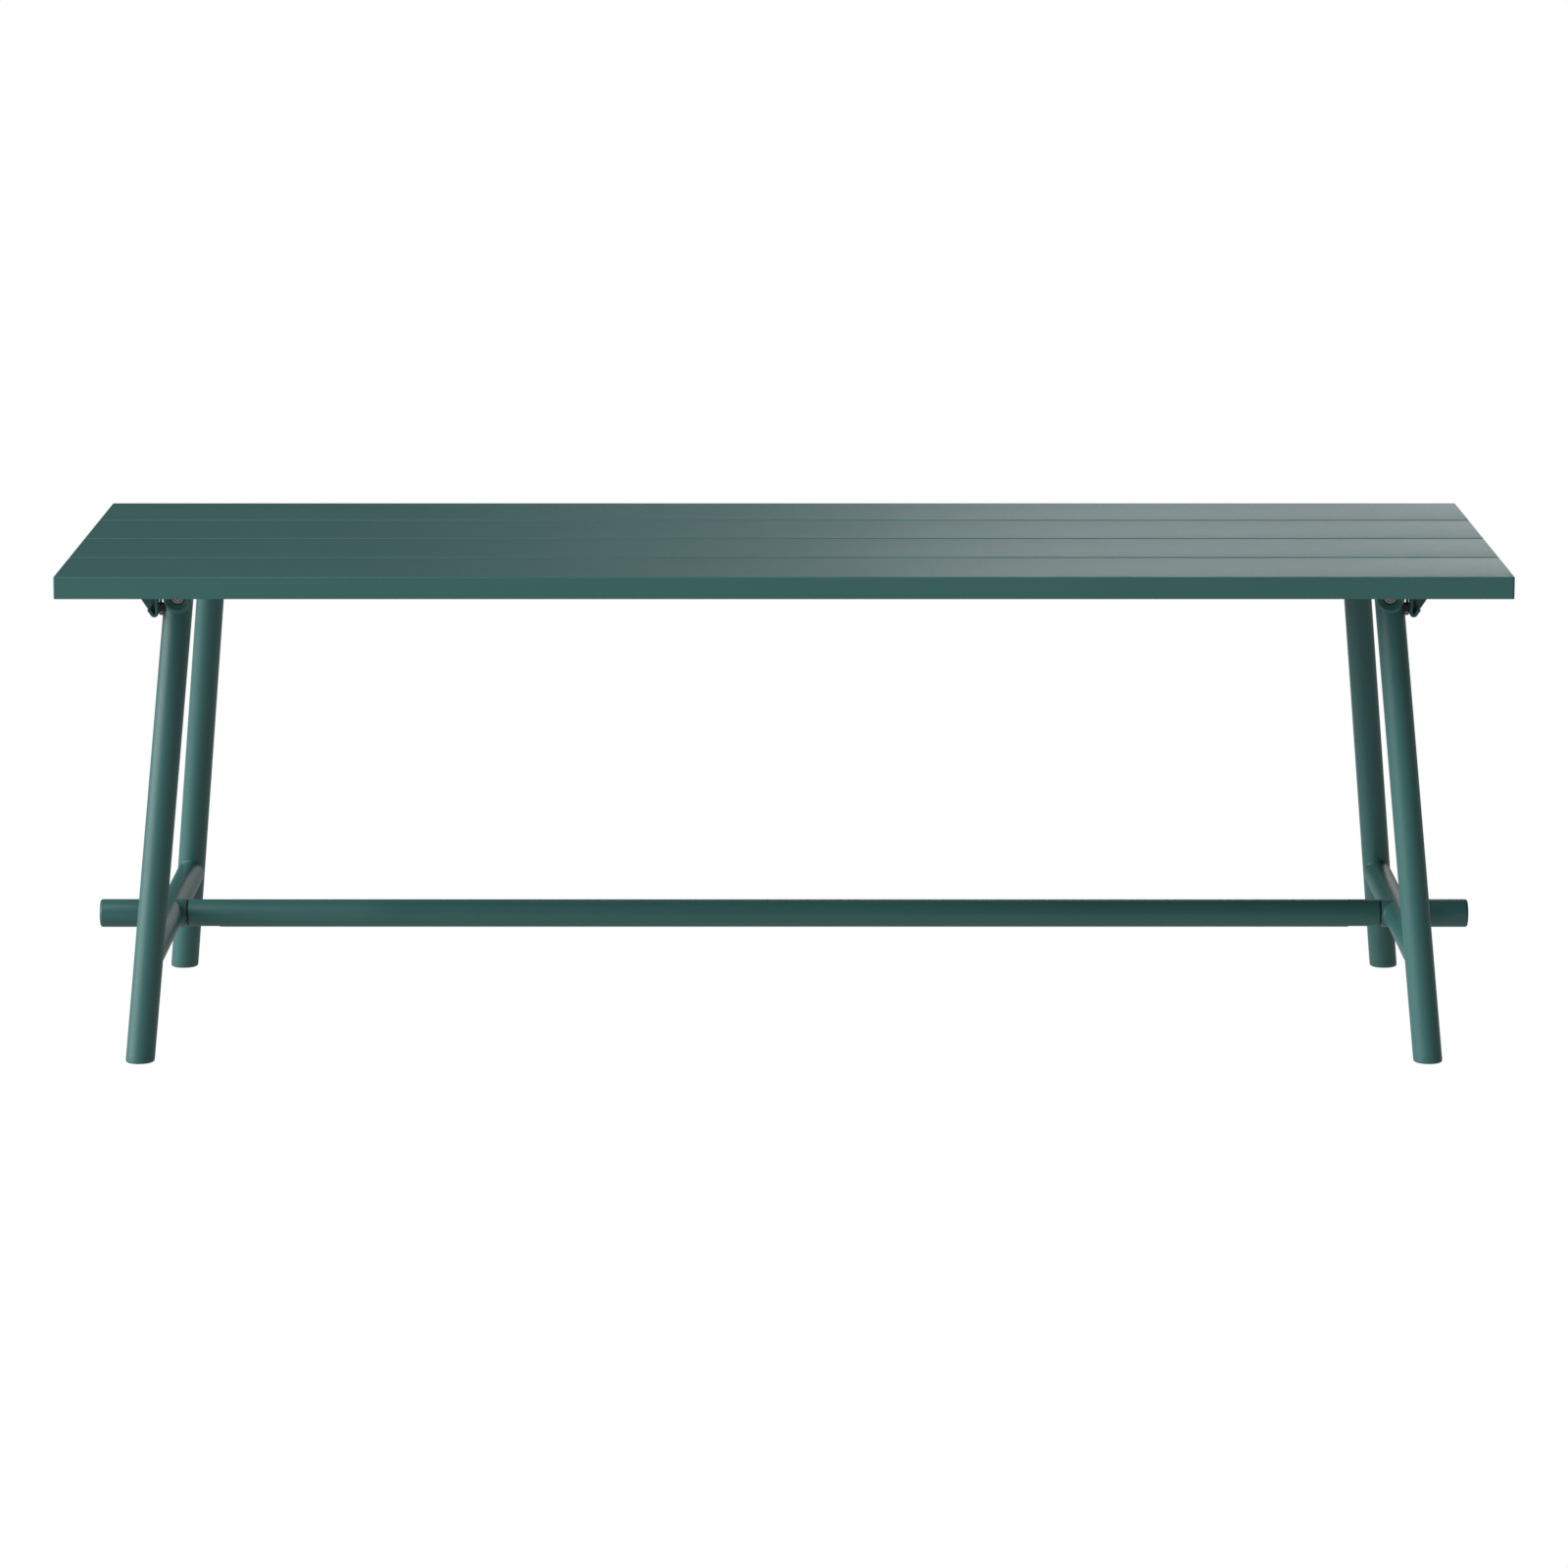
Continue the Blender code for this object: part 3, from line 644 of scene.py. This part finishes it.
def build_object():
    build_seat()
    for side, sx in SIDES.items():
        build_cross_tube(side)
        build_hub(side, sx)
        for depth, sy in DEPTHS.items():
            tag = f"{depth}_{side}"
            build_leg(tag, side, sx)
            build_rung(tag, side, sy)
            build_cross_end(tag, side, sy)
            build_strap(tag, sx, sy)
            build_catch_pin(tag, sx)
    build_stretcher()
    finish_of = {row["node"]: row["material_slot"] for row in frame["record"]["subparts"]}
    for node, obj in frame["nodes"].items():
        if not obj.hide_render:
            dress(node, finish_of[node])


# ---------------------------------------------------------------- studio

def cove():
    """White floor that curves up into a wall all round, seen by the camera alone."""
    radius, bend, wall_top, inner, turns = 45, 12, 40, 0.5, 96
    profile = [(inner, 0)] + arc((radius - bend, bend), bend, -90, 0, 12) + [(radius, wall_top)]
    bm = bmesh.new()
    middle = bm.verts.new((0, 0, 0))
    loops = [[bm.verts.new(p) for p in ring((0, 0, z), UP, r, turns)] for r, z in profile]
    for i in range(turns):
        j = (i + 1) % turns
        bm.faces.new((middle, loops[0][i], loops[0][j]))
        for low, high in zip(loops, loops[1:]):
            bm.faces.new((low[i], low[j], high[j], high[i]))
    bmesh.ops.recalc_face_normals(bm, faces=bm.faces[:])
    mesh = bpy.data.meshes.new("studio_cove")
    bm.to_mesh(mesh)
    bm.free()
    obj = bpy.data.objects.new("studio_cove", mesh)
    bpy.context.scene.collection.objects.link(obj)
    mat, _, shader = nodes_of("cove_white")
    shader.inputs["Base Color"].default_value = (0, 0, 0, 1)
    shader.inputs["Specular IOR Level"].default_value = 0
    shader.inputs["Emission Color"].default_value = (1, 1, 1, 1)
    shader.inputs["Emission Strength"].default_value = 1.0
    obj.data.materials.append(mat)
    obj.visible_diffuse = False
    obj.visible_glossy = False
    obj.visible_transmission = False
    obj.visible_volume_scatter = False
    obj.visible_shadow = False


def softbox(name, at, toward, wide, high, radiance):
    """Area light with an even radiance over its face."""
    light = bpy.data.lights.new(name, "AREA")
    light.shape = "RECTANGLE"
    light.size, light.size_y = wide, high
    light.energy = pi * wide * high * radiance
    obj = bpy.data.objects.new(name, light)
    obj.location = at
    obj.rotation_euler = (Vector(toward) - Vector(at)).to_track_quat("-Z", "Y").to_euler()
    obj.visible_camera = False
    bpy.context.scene.collection.objects.link(obj)


# Soft panels about the object: (degrees round from +X, degrees up, radiance).
PANEL_AIM, PANEL_AWAY = Vector((0, 0, 0.3)), 30.0
PANELS = [
    (30, 13, 0.6), (180, 13, 8.2), (210, 13, 6.1),
    (90, 38, 0.5), (210, 38, 4.5), (240, 63, 4.2),
]
LOW_ROW = 30  # degrees up; the panels below it are in the low row
LOW_PANEL, HIGH_PANEL = (15.0, 11.7), (12.8, 12.8)
# Panels behind the object, from its middle to its right: (x from, x to, z from, z to, radiance).
BACK_PANEL_Y = 6.0
BACK_PANELS = [
    (-0.5, 0.2, 1.5, 2.6, 0.5), (0.2, 1.2, 1.5, 2.6, 2.7),
    (1.2, 2.5, 0.6, 1.5, 1.43), (1.2, 2.5, 1.5, 2.6, 2.16),
    (2.5, 4.5, 0.6, 1.5, 1.1), (2.5, 4.5, 1.5, 2.6, 0.9),
]
FLOOR_GLOW, HORIZON = 0.4, 0.05  # radiance from below, and half the height over which it fades to none


def world():
    """Light from the white floor below the horizon, and none from above."""
    scene_world = bpy.data.worlds.new("studio")
    scene_world.use_nodes = True
    tree = scene_world.node_tree
    place = tree.nodes.new("ShaderNodeTexCoord")
    split = tree.nodes.new("ShaderNodeSeparateXYZ")
    step = tree.nodes.new("ShaderNodeMapRange")
    for key, value in (("From Min", -HORIZON), ("From Max", HORIZON), ("To Min", FLOOR_GLOW), ("To Max", 0)):
        step.inputs[key].default_value = value
    tree.links.new(place.outputs["Generated"], split.inputs["Vector"])
    tree.links.new(split.outputs["Z"], step.inputs["Value"])
    tree.links.new(step.outputs["Result"], tree.nodes["Background"].inputs["Strength"])
    tree.nodes["Background"].inputs["Color"].default_value = (1, 1, 1, 1)
    bpy.context.scene.world = scene_world


def studio():
    cove()
    world()
    for azimuth, height, radiance in PANELS:
        turn, up = radians(azimuth), radians(height)
        at = PANEL_AIM + PANEL_AWAY * Vector((cos(turn) * cos(up), sin(turn) * cos(up), sin(up)))
        size = LOW_PANEL if height < LOW_ROW else HIGH_PANEL
        softbox(f"panel_{azimuth}_{height}", at, PANEL_AIM, *size, radiance)
    for x0, x1, z0, z1, radiance in BACK_PANELS:
        at = Vector(((x0 + x1) / 2, BACK_PANEL_Y, (z0 + z1) / 2))
        softbox(f"back_{x0}_{z0}", at, at - Vector((0, 1, 0)), x1 - x0, z1 - z0, radiance)
    bpy.context.scene.view_settings.view_transform = "Standard"


# The photograph's viewpoint: far off, about ten degrees above level.
CAMERA_AT, CAMERA_DIP = (0.0, -5.8677, 1.2373), 9.859
SENSOR, LENS = 36.0, 146.25


def camera():
    lens = bpy.data.cameras.new("camera")
    lens.sensor_width, lens.lens = SENSOR, LENS
    obj = bpy.data.objects.new("camera", lens)
    obj.location = CAMERA_AT
    obj.rotation_euler = (radians(90 - CAMERA_DIP), 0, 0)
    bpy.context.scene.collection.objects.link(obj)
    bpy.context.scene.camera = obj


build_object()
studio()
camera()
